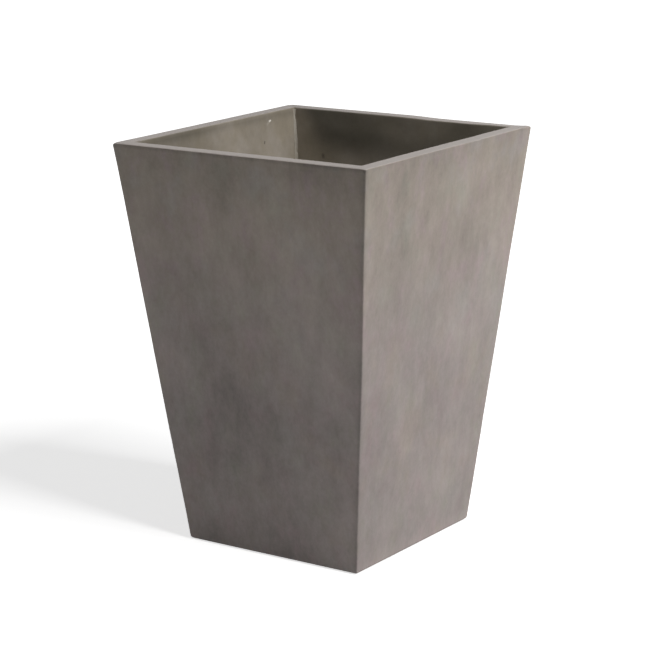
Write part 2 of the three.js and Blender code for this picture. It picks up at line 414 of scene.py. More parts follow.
# (size, how much taller than wide, level, seed)
CLOUDS = [(0.30, 1.2, 0.060, 4984), (0.11, 1.5, 0.030, 5189)]
# Darker under the rim: partly the coat's tone, partly painted shade.
UNDER_RIM_TONE_AND_SHADE = {"front": 0.13, "right": 0.10, "back": 0.08, "left": 0.08}
UNDER_RIM_REACH = 0.024
# A thin darker line just below the rim's outer edge: partly the coat's tone, partly painted shade.
RIM_LINE_TONE_AND_SHADE = {"front": 0.16, "right": 0.03, "back": 0.0, "left": 0.0}
RIM_LINE_REACH = 0.0016
# Paler at the foot of the right wall: painted light thrown up by the floor. A little darker at the foot
# of the front and left walls.
FOOT_PAINTED_LIGHT = {"front": -0.03, "right": 0.22, "back": 0.0, "left": -0.03}
FOOT_REACH = 0.025
# Darker low down on every wall: painted shade.
LOWER_PAINTED_SHADE, LOWER_ENDS = 0.09, (0.13, 0.33)
# A slope of tone from end to end of each wall: painted light.
SIDEWAYS_PAINTED_LIGHT = {"front": 0.0, "right": 0.06, "back": -0.02, "left": 0.03}
# The left and the right end of each wall, as seen from outside: below 0 a darker band along the
# arris, partly the coat's tone and partly painted shade; above 0 a paler band.
END_TONE_AND_SHADE = {
    "front": (0.04, -0.36),
    "right": (-0.13, 0.08),
    "back": (0.05, -0.15),
    "left": (-0.12, 0.05),
}
SHADED_END_REACH, PALE_END_REACH = 0.0038, 0.012
# Soft patches, where the glaze was wiped thinner or left thicker: (across, height, radius, level).
PATCHES = {
    "front": [(0.09, 0.12, 0.06, 0.08), (0.11, 0.03, 0.05, 0.05), (-0.13, 0.30, 0.06, -0.07)],
    "right": [(0.00, 0.50, 0.05, 0.13), (0.14, 0.50, 0.06, -0.12), (0.00, 0.06, 0.13, 0.035)],
    "back": [(-0.08, 0.20, 0.07, 0.06)],
    "left": [(0.05, 0.38, 0.07, 0.06)],
}
# The rim's tone, partly painted light, at the same two ends of each wall, the share of the wall's
# thickness over which it takes over from the face's tone, and how far below the top it reaches.
RIM_TONE_AND_LIGHT = {
    "front": (1.14, 0.96),
    "right": (0.99, 1.12),
    "back": (1.16, 0.95),
    "left": (1.08, 1.16),
}
RIM_TAKES_OVER, RIM_TONE_DEPTH = 0.045, 0.003
# How strongly the dapples and the streaks show on each wall: some were wiped smoother.
TEXTURE = {"front": 1.0, "right": 0.84, "back": 1.0, "left": 0.92}
print("the walls have", [len(PATCHES[side]) for side in SIDES], "soft patches")


# %% How pale or dark the coat is in each place
def face_bands(x, z, side):
    """Bands by the rim, the foot and the arrises, partly painted light and shade, each fading as
    exp(-distance / reach), and patches.
    """
    half = outer_half(z)
    bands = -UNDER_RIM_TONE_AND_SHADE[side] * np.exp((z - RIM_Z) / UNDER_RIM_REACH)
    bands = bands - RIM_LINE_TONE_AND_SHADE[side] * np.exp(-(((RIM_Z - z) / RIM_LINE_REACH - 1) ** 2))
    bands = bands + FOOT_PAINTED_LIGHT[side] * np.exp((FOOT_Z - z) / FOOT_REACH)
    bands = bands - LOWER_PAINTED_SHADE * (1 - between(*LOWER_ENDS, z))
    for level, sign in zip(END_TONE_AND_SHADE[side], (-1, 1)):
        reach = SHADED_END_REACH if level < 0 else PALE_END_REACH
        bands = bands + level * np.exp(-(half - sign * x) / reach)
    for across, rise, radius, level in PATCHES[side]:
        bands = bands + level * np.exp(-((x - across) ** 2 + (z - rise) ** 2) / radius**2)
    return bands + SIDEWAYS_PAINTED_LIGHT[side] * x / half


def coat_tone_and_light(true, side):
    """1 plus clouds of two sizes plus the face's bands of tone and painted light, and the rim's tone on
    the rim.
    """
    clouds = 0
    for size, taller, level, seed in CLOUDS:
        clouds = clouds + level * waves(true * (1, 1, 1 / taller), size, seed)
    x, _, z = np.moveaxis(turned(true, -SIDES.index(side) % 4), -1, 0)
    coat = 1 + clouds + face_bands(x, z, side)
    first, last = RIM_TONE_AND_LIGHT[side]
    rim = first + (last - first) * (x / outer_half(z) + 1) / 2
    on_rim = between(0, RIM_TAKES_OVER, share_inside)[:, None] * (z > RIM_Z - RIM_TONE_DEPTH)
    return coat * (1 - on_rim) + rim * on_rim


tones = coat_tone_and_light(wall_points(0)[1], "front")
print(f"the front wall's tones run from {tones.min():.2f} to {tones.max():.2f}")

# %% [markdown]
# The inside was never coated. The laminate is warm grey where it is clean, with faint soft
# stains. Painted shade darkens it in a band just under the rim, at the left wall's front end and
# all over the back wall, which is darker still in a wide patch and a small one. The painted shade
# is left out in a strip beside the joint at the back wall's left-hand corner.

# %% Where the bare inside is stained, and where shade is painted on it
FAINT_LEVEL, FAINT_SIZE, FAINT_ON_BACK = 0.10, 0.12, 0.3
# A band just under the rim, on the inside: painted shade.
RIM_SHADE_LEVEL, RIM_SHADE_LEVEL_BACK, RIM_SHADE_DEPTH = 0.28, 0.035, 0.006
# The left wall is darker towards its front end, near the rim: painted shade.
FRONT_END_SHADE, FRONT_END_Y, FRONT_END_FADES = 0.30, (-0.06, 0.05), (0.03, 0.08)
# The back wall's painted shade changes with depth, and each dark patch on it fades between two depths.
BACK_SHADE_LEVEL = 0.40
DARKER_BY, DARKER_DEPTHS = 0.12, (0.02, 0.04)
PALER_BY, PALER_DEPTHS = 0.40, (0.045, 0.085)
DARK_PATCH_LEVEL, DARK_PATCH_FADES = 0.43, (0.03, 0.07)
DARK_PATCH_X, DARK_PATCH_SLANT = -0.13, 1.5
DARK_PATCH_LEFT, DARK_PATCH_RIGHT = 0.10, 0.082
SMALL_DARK_PATCH_LEVEL, SMALL_DARK_PATCH_FADES = 0.2, (0.02, 0.04)
SMALL_DARK_PATCH_X, SMALL_DARK_PATCH_REACH = 0.1, 0.03
# The back wall's painted shade and patches are left out in this strip by the corner.
CORNER_STRIP, CORNER_STRIP_SLANT = 0.035, 0.6


def back_shade_and_patches(x, z):
    """The painted shade's level, plus a wide dark patch whose middle slants and a small one, less a
    strip by the corner.

    The strip is free of them at the left-hand corner, and widens with depth.
    """
    depth = RIM_Z - z
    across = x - DARK_PATCH_X - DARK_PATCH_SLANT * depth
    across = across / np.where(across < 0, DARK_PATCH_LEFT, DARK_PATCH_RIGHT)
    wide = DARK_PATCH_LEVEL * np.exp(-across * across) * (1 - between(*DARK_PATCH_FADES, depth))
    small = SMALL_DARK_PATCH_LEVEL * np.exp(-(((x - SMALL_DARK_PATCH_X) / SMALL_DARK_PATCH_REACH) ** 2))
    small = small * (1 - between(*SMALL_DARK_PATCH_FADES, depth))
    level = BACK_SHADE_LEVEL + DARKER_BY * between(*DARKER_DEPTHS, depth)
    level = level - PALER_BY * between(*PALER_DEPTHS, depth)
    return (level + wide + small) * between(0, CORNER_STRIP + CORNER_STRIP_SLANT * depth, x + inner_half(z))


def stained_and_shaded(true, side):
    """0 where the laminate is clean, to 1 where it is darkest: faint stains, and painted shade in a band
    under the rim, at the left wall's front end and over the back wall.
    """
    x, y, z = np.moveaxis(true, -1, 0)
    depth = RIM_Z - z
    faint = FAINT_LEVEL * np.clip(waves(true, FAINT_SIZE, seed=61), 0, 2)
    rim_shade = np.exp(-((depth / RIM_SHADE_DEPTH - 1) ** 2))
    if side == "back":
        return np.clip(back_shade_and_patches(x, z) + FAINT_ON_BACK * faint + RIM_SHADE_LEVEL_BACK * rim_shade, 0, 1)
    if side == "left":
        front_end_shade = (1 - between(*FRONT_END_Y, y)) * (1 - between(*FRONT_END_FADES, depth))
        faint = faint + FRONT_END_SHADE * front_end_shade
    return np.clip(faint + RIM_SHADE_LEVEL * rim_shade, 0, 1)


# How far stains and painted shade darken each wall's inside.
darkest = {side: stained_and_shaded(wall_points(i)[1], side).max() for i, side in enumerate(SIDES)}
print("damp reaches", ", ".join(f"{level:.2f} on the {side}" for side, level in darkest.items()))


# %% Four walls, each skinned from mitre to mitre
walls = []
for quarters, side in enumerate(SIDES):
    points, true = wall_points(quarters)
    wall = skin(f"stone_wall_{side}", points.transpose(1, 0, 2))
    count = points.shape[1]
    note(wall, "past_rim_edge", np.tile(past_rim_edge, (count, 1)))
    # The coat's tone, with painted light and shade near its edges.
    note(wall, "coat_tone_and_light", coat_tone_and_light(true, side).T)
    # Stains on the inside, and painted shade.
    note(wall, "stained_and_shaded", stained_and_shaded(true, side).T)
    note(wall, "texture", np.full((count, len(profile)), TEXTURE[side]))
    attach(wall, "planter")
    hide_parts(f"wall_panel_{side}")
    walls.append(wall)

# %% [markdown]
# ## The floor
#
# The floor is a panel with leaning edges and a drain hole. A square plate with a hole cut in it
# would need a boolean, which leaves long thin triangles. Instead its section is carried round
# the hole: each station is one direction out from the middle, and its section runs up the wall
# of the hole, over the chamfer, out to the square edge, down it and back underneath.

# %% The floor, carried round its drain hole
DRAIN_RADIUS = 0.0125
DRAIN_CHAMFER = 0.0015
FLOOR_STATIONS = 192
HOLE_POINTS, TOP_POINTS, UNDERSIDE_POINTS = 5, 36, 24
FIRST_SHARE = 0.02
FLOOR_WAVES = [(0.07, 0.0003, 21), (0.02, 0.00015, 22)]
# The waves set in and fade out over these shares of the way from the hole to the edge.
FREE_OF_HOLE, FREE_OF_EDGE = (0, 0.15), (0.97, 1)


def square_reach(angles):
    """How far the unit square's edge lies from its middle: 1 over the larger of |cos| and |sin|."""
    return 1 / np.maximum(np.abs(np.cos(angles)), np.abs(np.sin(angles)))


def floor_section():
    """The section as (radius at the hole, share of the way out, height): up the hole, out and back."""
    up = np.linspace(FLOOR_LOW.z, FLOOR_HIGH.z - DRAIN_CHAMFER, HOLE_POINTS)
    out = np.linspace(FIRST_SHARE, 1, TOP_POINTS)
    back = np.linspace(1, FIRST_SHARE, UNDERSIDE_POINTS)
    runs = [
        (DRAIN_RADIUS, 0.0, up),
        (DRAIN_RADIUS + DRAIN_CHAMFER, out, FLOOR_HIGH.z),
        (DRAIN_RADIUS, back, FLOOR_LOW.z),
    ]
    return np.hstack([np.stack(np.broadcast_arrays(*run)) for run in runs])


def floor_points():
    """(1 - s) times the hole's circle plus s times the square's edge, in each direction."""
    angles = np.linspace(0, 2 * np.pi, FLOOR_STATIONS, endpoint=False) + np.pi / FLOOR_STATIONS
    radius, share, z = floor_section()
    edge = inner_half(z) * square_reach(angles)[:, None]
    distance = (1 - share) * radius + share * edge
    x = distance * np.cos(angles)[:, None]
    y = distance * np.sin(angles)[:, None]
    points = np.stack([x, y, np.broadcast_to(z, distance.shape)], axis=-1)
    free = between(*FREE_OF_HOLE, share) * (1 - between(*FREE_OF_EDGE, share))
    points[..., 2] += free * layered(points, FLOOR_WAVES)
    return points


floor_piece = skin("laminate_floor", floor_points(), ring=True)
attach(floor_piece, "planter")
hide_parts("floor_panel")

# %% [markdown]
# ## Resin beads
#
# Thickened resin is run into each inside joint and dragged with a finger or a rounded stick. It
# leaves a hollow face with thin ragged edges, wider here and narrower there. The bead is a small
# section carried along its joint. The two places where it touches the walls wander by
# themselves, and its hidden back is sunk half a millimetre into the walls.

# %% A ragged bead along a joint
SUNK = 0.0005
NARROWEST, WIDEST = 0.35, 1.9


def on_a_line(distance):
    """Points on a straight line through space, at those distances along it."""
    return np.stack([distance, 0 * distance, 0 * distance], axis=-1)


def ragged(distance, width, seed, depth):
    """A width that wanders along the joint in long, short and very short waves."""
    layers = [(0.03, 0.5, seed), (0.011, 0.35, seed + 1), (0.004, 0.2, seed + 2)]
    wanders = depth * layered(on_a_line(distance), layers)
    return width * np.clip(1 + wanders, NARROWEST, WIDEST)


def bead_section(first, second, pull, steps=9):
    """From (first, 0) to (0, second) along a quadratic curve, then back round behind the joint.

    The curve's middle control point is the pull times (first, second), so 0 hollows the face
    most and 0.5 makes it straight.
    """
    t = np.linspace(0, 1, steps)
    first, second, pull = first[:, None], second[:, None], pull[:, None]
    sunk = np.full_like(first, -SUNK)
    along = (1 - t) ** 2 * first + 2 * t * (1 - t) * pull * first
    out = t**2 * second + 2 * t * (1 - t) * pull * second
    return np.hstack([along, sunk, sunk, first]), np.hstack([out, second, sunk, sunk])


widths = ragged(np.linspace(0, 0.1, 200), 4.0, seed=1, depth=0.3)
print(f"along 10 cm, a ragged 4 mm runs from {widths.min():.1f} to {widths.max():.1f} mm")


# %% Beads up the corners
CORNER_BEAD_FIRST, CORNER_BEAD_SECOND = 0.0032, 0.002
FIRST_RAGGED, SECOND_RAGGED = 0.28, 0.15
BEAD_STEP = 0.0012
CORNER_PULL, PULL_WAVES, PULL_LENGTH = 0.34, 0.1, 0.05
PULL_LIMITS = (0.1, 0.6)
CORNERS = ["front_right", "back_right", "back_left", "front_left"]

corner_beads = []
for quarters, corner in enumerate(CORNERS):
    z = np.linspace(BEAD_LOW.z, BEAD_HIGH.z, int((BEAD_HIGH.z - BEAD_LOW.z) / BEAD_STEP))
    seed = 40 + 10 * quarters
    first = ragged(z, CORNER_BEAD_FIRST, seed, FIRST_RAGGED)
    second = ragged(z, CORNER_BEAD_SECOND, seed + 5, SECOND_RAGGED)
    pull = CORNER_PULL + PULL_WAVES * waves(on_a_line(z), PULL_LENGTH, seed + 8)
    along, out = bead_section(first, second, np.clip(pull, *PULL_LIMITS))
    half = inner_half(z)[:, None]
    upright = np.broadcast_to(z[:, None], along.shape)
    points = np.stack([half - along, out - half, upright], axis=-1)
    bead = skin(f"corner_resin_{corner}", turned(points, quarters))
    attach(bead, "planter")
    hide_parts(f"corner_bead_{corner}")
    corner_beads.append(bead)

# %% Beads round the floor
FLOOR_BEAD = 0.008
FLOOR_BEAD_HIGHER = 0.9
FLOOR_RAGGED = 0.2
FLOOR_PULL = 0.3
FLOOR_BEAD_STATIONS = 190
# The beads are plain where they meet in the corners, from this share of their length on.
PLAIN_FROM = 0.9

floor_beads = []
for quarters, side in enumerate(SIDES):
    share = np.linspace(-1, 1, FLOOR_BEAD_STATIONS)
    seed = 90 + 10 * quarters
    distance = share * inner_half(FLOOR_HIGH.z)
    plain = between(PLAIN_FROM, 1, np.abs(share))
    first = ragged(distance, FLOOR_BEAD, seed, FLOOR_RAGGED)
    first = first + (FLOOR_BEAD - first) * plain
    second = ragged(distance, FLOOR_BEAD * FLOOR_BEAD_HIGHER, seed + 5, FLOOR_RAGGED)
    second = second + (FLOOR_BEAD - second) * plain
    inwards, up = bead_section(first, second, np.full_like(share, FLOOR_PULL))
    z = FLOOR_HIGH.z + up
    half = inner_half(z) - inwards
    points = np.stack([share[:, None] * half, -half, z], axis=-1)
    bead = skin(f"floor_resin_{side}", turned(points, quarters))
    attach(bead, "planter")
    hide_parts(f"floor_bead_{side}")
    floor_beads.append(bead)

# %% [markdown]
# ## The rubber parts
#
# The bung and the pads are turned shapes, as moulded rubber mostly is: a profile of radius and
# height, carried round the axis. Their edges are rounded in the profile itself, so no bevel is
# needed afterwards.

# %% A turned piece
def lathe(name, outline, centre=(0, 0), segments=72):
    """Each (radius, height) of the outline becomes a ring of points at (r cos a, r sin a, height)."""
    radius, height = outline.T
    angles = np.linspace(0, 2 * np.pi, segments, endpoint=False)
    ring_x = centre[0] + radius[:, None] * np.cos(angles)
    ring_y = centre[1] + radius[:, None] * np.sin(angles)
    ring_z = np.broadcast_to(height[:, None], ring_x.shape)
    return skin(name, np.stack([ring_x, ring_y, ring_z], axis=-1))


def rounded_outline(corners):
    """A path of (radius, height, rounding) corners, with an arc at each one that has a rounding."""
    table = np.array(corners, float)
    points = table[:, :2]
    path = []
    for i, rounding in enumerate(table[:, 2]):
        if rounding == 0:
            path.append(points[i : i + 1])
        else:
            path.append(rounded(points[i - 1], points[i], points[i + 1], rounding, steps=5))
    return np.vstack(path)


step = rounded_outline([(0.001, 0, 0), (0.005, 0, 0.001), (0.005, 0.003, 0)])
print("two ends and one rounded corner make", len(step), "points")

# %% [markdown]
# The bung is hollow from below, so that it can be squeezed into the hole. Its stem tapers a
# little and has shallow grooves between its ribs, its head rests on the floor, and a small knob
# on the head is there to pull it by. A turned piece ends in a tiny flat disc on its axis.

# %% The drain bung
BUNG_HEAD_RADIUS = 0.018
BUNG_GRIP_RADIUS = 0.0045
BUNG_GRIP_HEIGHT = 0.007
BUNG_CLEARANCE = 0.0003
BUNG_TAPER = 0.0008
BUNG_RIBS = 3
BUNG_RIB_DEPTH = 0.0007
BUNG_BORE_RADIUS = 0.0075
BUNG_BORE_ROOF = 0.004
RIB_ROUND = 0.0003
SEAT_ROUND = 0.0004
EASE = 0.0008
DISC = 0.0008

head_z = BUNG_HIGH.z - BUNG_GRIP_HEIGHT
stem_length = FLOOR_HIGH.z - BUNG_LOW.z
neck = DRAIN_RADIUS - BUNG_CLEARANCE
bung_corners = [
    (DISC, head_z - BUNG_BORE_ROOF, 0),
    (BUNG_BORE_RADIUS, head_z - BUNG_BORE_ROOF, EASE),
    (BUNG_BORE_RADIUS, BUNG_LOW.z, EASE),
    (neck - BUNG_TAPER - BUNG_RIB_DEPTH, BUNG_LOW.z, EASE),
]
rib_pitch = stem_length / (2 * BUNG_RIBS + 1)
for rib in range(BUNG_RIBS):
    for part, depth, rounding in ((0, BUNG_RIB_DEPTH, 0), (0.5, 0, RIB_ROUND), (1, BUNG_RIB_DEPTH, 0)):
        z = BUNG_LOW.z + rib_pitch * (2 * rib + 1 + part)
        stem = neck - BUNG_TAPER * (FLOOR_HIGH.z - z) / stem_length
        bung_corners.append((stem - depth, z, rounding))
bung_corners += [
    (neck - BUNG_RIB_DEPTH, FLOOR_HIGH.z, 0),
    (BUNG_HEAD_RADIUS, FLOOR_HIGH.z, SEAT_ROUND),
    (BUNG_HEAD_RADIUS, head_z, EASE),
    (BUNG_GRIP_RADIUS, head_z, EASE),
    (BUNG_GRIP_RADIUS, BUNG_HIGH.z, EASE),
    (DISC, BUNG_HIGH.z, 0),
]
bung = lathe("rubber_bung", rounded_outline(bung_corners))
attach(bung, "bung")
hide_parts("drain_bung")

# %% The pads under the walls
PAD_ROUND = 0.0004

pad_radius = (PAD_HIGH.x - PAD_LOW.x) / 2
pad_x = (PAD_HIGH.x + PAD_LOW.x) / 2
pad_y = (PAD_HIGH.y + PAD_LOW.y) / 2
pad_outline = rounded_outline(
    [
        (DISC, PAD_LOW.z, 0),
        (pad_radius, PAD_LOW.z, PAD_ROUND),
        (pad_radius, PAD_HIGH.z, PAD_ROUND / 2),
        (DISC, PAD_HIGH.z, 0),
    ]
)
pads = []
for quarters, corner in enumerate(CORNERS):
    middle = turned(np.array([pad_x, pad_y, 0.0]), quarters)
    pad = lathe(f"rubber_pad_{corner}", pad_outline, centre=middle[:2], segments=48)
    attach(pad, "planter")
    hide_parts(f"foot_pad_{corner}")
    pads.append(pad)

# %% [markdown]
# ## Mixing a finish
#
# A finish is a tree of nodes that ends in one shader. Built node by node it takes pages, so a
# few small functions add the kinds of node that the planter's finishes need. Each takes the tree
# and gives back the socket that holds its result. First come a node with its sockets filled in,
# a new material, and the shader at its end.

# %% Nodes, and the start and the end of a finish
def put(tree, socket, value):
    """Puts a number or a colour on a socket, or links another node's result to it."""
    if isinstance(value, bpy.types.NodeSocket):
        tree.links.new(value, socket)
    else:
        socket.default_value = value


def add(tree, kind, options=(), **inputs):
    """A new node of that kind, with its options set first and then its inputs, by name."""
    node = tree.nodes.new(f"ShaderNode{kind}")
    for name, value in dict(options).items():
        setattr(node, name, value)
    for name, value in inputs.items():
        put(tree, node.inputs[name.replace("_", " ")], value)
    return node


def new_finish(name):
    """A new material and its tree, with one node in it that gives each point's place in space."""
    material = bpy.data.materials.new(name)
    material.use_nodes = True
    add(material.node_tree, "TexCoord", {"name": "Place"})
    return material, material.node_tree


def shade(material, colour, roughness, slope, **plain):
    """Links the colour, the roughness and the slope to the shader, and sets its plain numbers."""
    tree = material.node_tree
    shader = next(node for node in tree.nodes if node.type == "BSDF_PRINCIPLED")
    put(tree, shader.inputs["Base Color"], colour)
    put(tree, shader.inputs["Roughness"], roughness)
    put(tree, shader.inputs["Normal"], slope)
    for name, value in plain.items():
        shader.inputs[name.replace("_", " ")].default_value = value
    print(f"{material.name}: {len(tree.nodes)} nodes")
    return material


ends = [bpy.types.ShaderNodeTexCoord.bl_rna.name, bpy.types.ShaderNodeBsdfPrincipled.bl_rna.name]
print("a finish goes from", ends[0], "to", ends[1])

# %% [markdown]
# Patterns come next. Every one reads Object coordinates, in metres, so a size given to a pattern
# is a real size, and a pattern stays on its piece when the piece moves.

# %% Places and patterns
SEED_SHIFT = np.array([1.37, -2.11, 0.73])
# A spot is at its full strength within this share of its radius.
SPOT_CORE = 0.3
print(f"each seed moves a pattern by {np.linalg.norm(SEED_SHIFT):.1f} times its size")


def place(tree):
    """The place of each point in space."""
    return tree.nodes["Place"].outputs["Object"]


def height(tree):
    """The height of each point above the ground."""
    return add(tree, "SeparateXYZ", Vector=place(tree)).outputs["Z"]


def noted(tree, name):
    """A number that was noted on the mesh's points."""
    return add(tree, "Attribute", {"attribute_name": name}).outputs["Fac"]


def noise(tree, size, stretch=(1, 1, 1), detail=3, roughness=0.5, seed=0, distortion=0):
    """Soft random patches, about size metres across and longer where stretch is more than 1."""
    moved = add(
        tree,
        "Mapping",
        Vector=place(tree),
        Location=SEED_SHIFT * seed,
        Scale=[1 / (size * s) for s in stretch],
    )
    texture = add(
        tree,
        "TexNoise",
        Vector=moved.outputs[0],
        Scale=1,
        Detail=detail,
        Roughness=roughness,
        Distortion=distortion,
    )
    return texture.outputs["Fac"]


def spot(tree, centre, radius):
    """1 near one place on the planter, falling to 0 at that radius from it."""
    gap = add(tree, "VectorMath", {"operation": "DISTANCE"})
    put(tree, gap.inputs[0], place(tree))
    put(tree, gap.inputs[1], centre)
    return remap(tree, gap.outputs["Value"], radius * SPOT_CORE, radius, to_low=1, to_high=0)


# %% [markdown]
# The last few join patterns into one: a sum or a product, a range carried to another range, two
# colours mixed by a share, and a height made into a slope of the surface.

# %% Sums, ranges, mixes and slopes
def reckon(tree, operation, first, second):
    """One sum on two numbers."""
    node = add(tree, "Math", {"operation": operation})
    put(tree, node.inputs[0], first)
    put(tree, node.inputs[1], second)
    return node.outputs[0]


def tone(tree, start, *layers):
    """The start plus (layer - 0.5) times its strength, for each layer of noise."""
    for layer, strength in layers:
        centred = reckon(tree, "SUBTRACT", layer, 0.5)
        start = reckon(tree, "ADD", start, reckon(tree, "MULTIPLY", centred, strength))
    return start


def remap(tree, value, low, high, to_low=0.0, to_high=1.0):
    """The value carried from one range to another along a smooth step, and held at both ends."""
    ranges = {"From_Min": low, "From_Max": high, "To_Min": to_low, "To_Max": to_high}
    smooth = {"interpolation_type": "SMOOTHSTEP"}
    return add(tree, "MapRange", smooth, Value=value, **ranges).outputs["Result"]


def opaque(colour):
    """A colour as red, green, blue and full alpha. A socket is passed on as it is."""
    return colour if isinstance(colour, bpy.types.NodeSocket) else (*colour, 1.0)


def mix(tree, share, first, second, blend="MIX"):
    """Two colours mixed by a share from 0 to 1."""
    options = {"data_type": "RGBA", "blend_type": blend, "clamp_factor": True}
    colours = {"A": opaque(first), "B": opaque(second)}
    return add(tree, "Mix", options, Factor=share, **colours).outputs["Result"]


def bump(tree, pattern, depth, strength, **under):
    """The slope of a surface that the pattern raises by up to depth metres, over an earlier slope."""
    node = add(tree, "Bump", Height=pattern, Distance=depth, Strength=strength, **under)
    return node.outputs["Normal"]


print("a mid grey is mixed as", opaque((0.5, 0.5, 0.5)))

# %% [markdown]
# ## The stone coat and the bare inside
#
# The outside is sprayed and then wiped with a thin darker glaze, which gathers in soft clouds
# and runs a little downwards. It could be painted by hand on an image, but layers of noise,
# stretched along the height, give the same clouds at every scale and need no unwrapping. One
# material serves the whole wall: the coat, the paler rim where it was rubbed, and the bare
# inside, which starts at the rim's inner edge.

# %% The colours of the walls
COAT_HIGH = (0.2985, 0.2605, 0.2235)
COAT_LOW = (0.2975, 0.261, 0.247)
COAT_WARM = (0.303, 0.260, 0.230)
COAT_COOL = (0.290, 0.265, 0.249)
COAT_ROSY = (0.315, 0.255, 0.252)
COAT_OLIVE = (0.281, 0.269, 0.227)
COAT_CHANGES = (0.22, 0.56)
RIM_COAT = (0.362, 0.330, 0.309)
BARE = (0.256, 0.222, 0.172)
BARE_GREY = (0.276, 0.245, 0.207)
# The bare laminate where it is stained, and where shade is painted on it.
BARE_STAINED_AND_SHADED = (0.063, 0.057, 0.043)
MATT = 0.2
# How softly the coat goes over to the rim's, and how far before the inner edge it starts to end.
RIM_EDGE = 0.001
COAT_ENDS = 0.003
# How strongly each layer of noise moves the tone.
MOTTLE_LEVEL, DAPPLE_LEVEL, STREAK_LEVEL, GRAIN_LEVEL = 0.3, 0.74, 0.12, 0.1
STAINS_LEVEL, PATCHES_LEVEL = 0.35, 0.25

# Marks on the inside. Each place has its radius and its strength.
CHIPPED = (0.80, 0.77, 0.70)
CHIPS = {
    (-0.1797, 0.1212, 0.5474): (0.0019, 0.95),
    (-0.1797, 0.1184, 0.5471): (0.0019, 0.80),
    (-0.1796, 0.1180, 0.5461): (0.0028, 0.16),
    (-0.1795, 0.1152, 0.5447): (0.0028, 0.10),
    (-0.1793, 0.1125, 0.5431): (0.0028, 0.08),
}
PIT = (0.03, 0.025, 0.02)
PITS = {
    (-0.1765, 0.1023, 0.5195): (0.0021, 0.56),
    (-0.1763, 0.1016, 0.5175): (0.0021, 0.56),
    (-0.1262, 0.1736, 0.4945): (0.0038, 0.35),
    (-0.1252, 0.1732, 0.4920): (0.0038, 0.38),
}
print(f"{len(CHIPS)} chips and {len(PITS)} pits mark the inside")


# %% The coat, from its tints to its grain
def tinted_coat(tree):
    """The coat's colour: warmer with height, and in patches warmer or cooler, rosier or greener.

    Each tint sets in as its noise goes from its middle, 0.5, to the limit, by the most given.
    """
    warmth = noise(tree, 0.07, stretch=(1, 1, 1.3), detail=3, roughness=0.7, seed=1)
    tints = noise(tree, 0.045, stretch=(1, 1, 1.4), detail=5, roughness=0.75, seed=2)
    coat = mix(tree, remap(tree, height(tree), *COAT_CHANGES), COAT_LOW, COAT_HIGH)
    for pattern, limit, most, tint in (
        (warmth, 0.7, 0.7, COAT_WARM),
        (warmth, 0.3, 0.7, COAT_COOL),
        (tints, 0.7, 0.8, COAT_ROSY),
        (tints, 0.3, 0.55, COAT_OLIVE),
    ):
        coat = mix(tree, remap(tree, pattern, 0.5, limit, to_high=most), coat, tint)
    return coat


def wiped_coat(tree, mottle, grain):
    """The tints times the noted tone, with painted light and shade in it, and mottling, dapples,
    downward streaks and grain.
    """
    dapple = noise(tree, 0.032, stretch=(1, 1, 1.6), detail=4, roughness=0.82, seed=3)
    wiped = noise(tree, 0.011, stretch=(1, 1, 7), detail=3, roughness=0.6, seed=6)
    layers = [(dapple, DAPPLE_LEVEL), (wiped, STREAK_LEVEL), (grain, GRAIN_LEVEL)]
    streaks = reckon(tree, "MULTIPLY", tone(tree, 0.0, *layers), noted(tree, "texture"))
    level = tone(tree, noted(tree, "coat_tone_and_light"), (mottle, MOTTLE_LEVEL))
    level = reckon(tree, "ADD", level, streaks)
    return mix(tree, 1.0, tinted_coat(tree), level, blend="MULTIPLY")


def rubbed_rim(tree, mottle, grain):
    """The rim's paler coat times the noted tone, partly painted light, with mottling and grain."""
    level = tone(tree, noted(tree, "coat_tone_and_light"), (mottle, MOTTLE_LEVEL), (grain, GRAIN_LEVEL))
    return mix(tree, 1.0, RIM_COAT, level, blend="MULTIPLY")


print(f"the rim's coat is {RIM_COAT[1] / COAT_LOW[1]:.2f} times as pale as the faces'")


# %% The bare laminate of the inside
def bare_inside(tree, grain):
    """Two greys in patches, darkened where stains and painted shade are noted, times some unevenness,
    with its marks.
    """
    stains = noise(tree, 0.05, stretch=(1, 1, 1.4), detail=5, roughness=0.65, seed=11)
    patches = noise(tree, 0.014, detail=4, roughness=0.6, seed=13)
    bare = mix(tree, remap(tree, stains, 0.35, 0.7), BARE, BARE_GREY)
    bare = mix(tree, noted(tree, "stained_and_shaded"), bare, BARE_STAINED_AND_SHADED)
    layers = [(stains, STAINS_LEVEL), (patches, PATCHES_LEVEL), (grain, GRAIN_LEVEL)]
    bare = mix(tree, 1.0, bare, tone(tree, 1.0, *layers), blend="MULTIPLY")
    for marks, colour in ((CHIPS, CHIPPED), (PITS, PIT)):
        for centre, (radius, strength) in marks.items():
            share = reckon(tree, "MULTIPLY", spot(tree, centre, radius), strength)
            bare = mix(tree, share, bare, colour)
    return bare


# The darkest inside colour stands for both stains and painted shade.
print(f"fully damp laminate is {BARE_STAINED_AND_SHADED[1] / BARE[1]:.2f} times as pale as clean")


